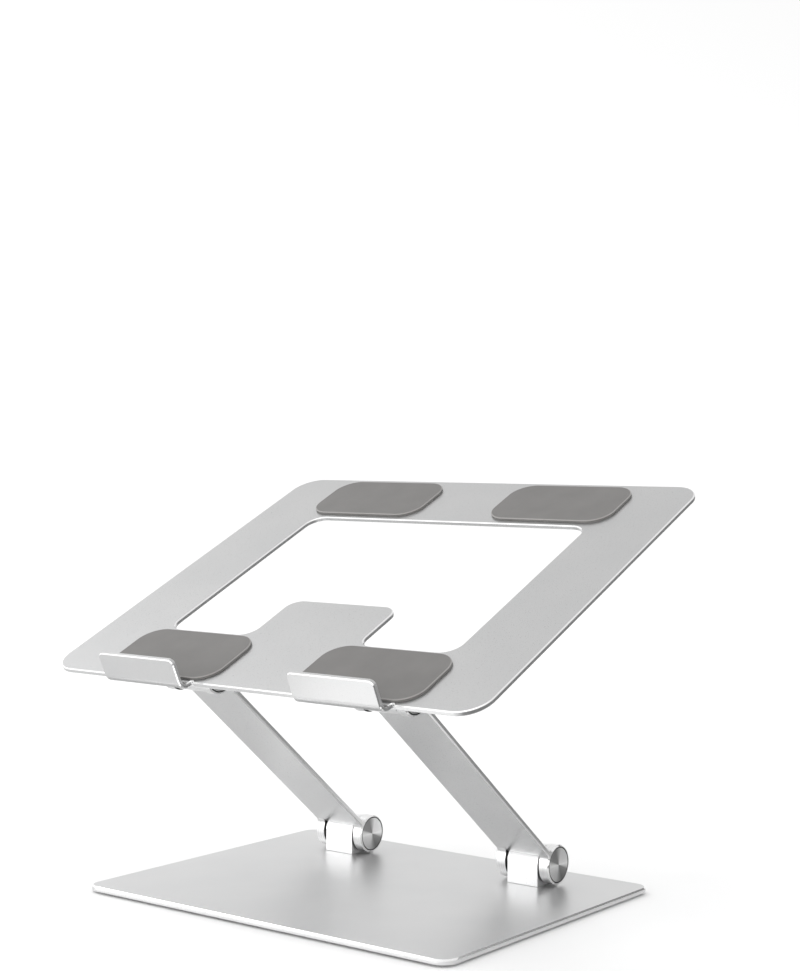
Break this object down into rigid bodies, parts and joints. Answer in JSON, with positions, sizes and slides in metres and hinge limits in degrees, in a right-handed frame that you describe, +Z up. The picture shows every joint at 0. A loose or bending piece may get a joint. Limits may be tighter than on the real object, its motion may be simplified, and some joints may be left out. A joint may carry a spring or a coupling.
{
  "type": "laptop stand",
  "caption": "Folding desk stand that raises and tilts a laptop: flat base plate, parallel arms on friction hinges, and a window tray with front lips and soft pads.",
  "frame": {"origin": "on the floor, under the middle of the base plate, which is within 2 mm of the middle of the whole box", "axes": "+Z up, +Y towards the back of the stand, where the lower hinges are, and +X to the right of someone facing the stand's front lips"},
  "size_m": [0.2576, 0.2106, 0.2032],
  "materials": {
    "anodised_aluminium": "fine bead-blasted and clear anodised, with polished edges",
    "cap_spun": "spun, with fine concentric turning marks",
    "hardware_steel": "zinc-plated",
    "pad_silicone": "matt warm grey silicone",
    "foot_rubber": "matt"
  },
  "bodies": {
    "base": {"base_plate": "anodised_aluminium", "foot_front_left": "foot_rubber", "foot_front_right": "foot_rubber", "foot_rear_left": "foot_rubber", "foot_rear_right": "foot_rubber", "base_block_left": "anodised_aluminium", "base_block_right": "anodised_aluminium", "block_screws_left": "hardware_steel", "block_screws_right": "hardware_steel"},
    "arms": {"arm_left": "anodised_aluminium", "arm_right": "anodised_aluminium", "lower_pin_left": "hardware_steel", "lower_pin_right": "hardware_steel", "lower_nut_left": "hardware_steel", "lower_nut_right": "hardware_steel", "lower_washers_left": "hardware_steel", "lower_washers_right": "hardware_steel", "lower_cap_left_outer": "cap_spun", "lower_cap_left_inner": "cap_spun", "lower_cap_right_inner": "cap_spun", "lower_cap_right_outer": "cap_spun", "upper_pin_left": "hardware_steel", "upper_pin_right": "hardware_steel", "upper_nut_left": "hardware_steel", "upper_nut_right": "hardware_steel", "upper_washers_left": "hardware_steel", "upper_washers_right": "hardware_steel", "upper_cap_left_outer": "cap_spun", "upper_cap_left_inner": "cap_spun", "upper_cap_right_inner": "cap_spun", "upper_cap_right_outer": "cap_spun"},
    "tray": {"tray_plate": "anodised_aluminium", "tray_block_left": "anodised_aluminium", "tray_block_right": "anodised_aluminium", "tray_screws_left": "hardware_steel", "tray_screws_right": "hardware_steel", "pad_front_left": "pad_silicone", "pad_front_right": "pad_silicone", "pad_rear_left": "pad_silicone", "pad_rear_right": "pad_silicone"}
  },
  "joints": [
    {"name": "arm_lift", "type": "hinge", "parent": "base", "child": "arms", "pos_m": [0, 0.0577, 0.0143], "axis": [-1, 0, 0], "range_deg": [-38.7, 31.3]},
    {"name": "tray_tilt", "type": "hinge", "parent": "arms", "child": "tray", "pos_m": [0, -0.06327, 0.11121], "axis": [1, 0, 0], "range_deg": [-58.2, 46.3]}
  ]
}
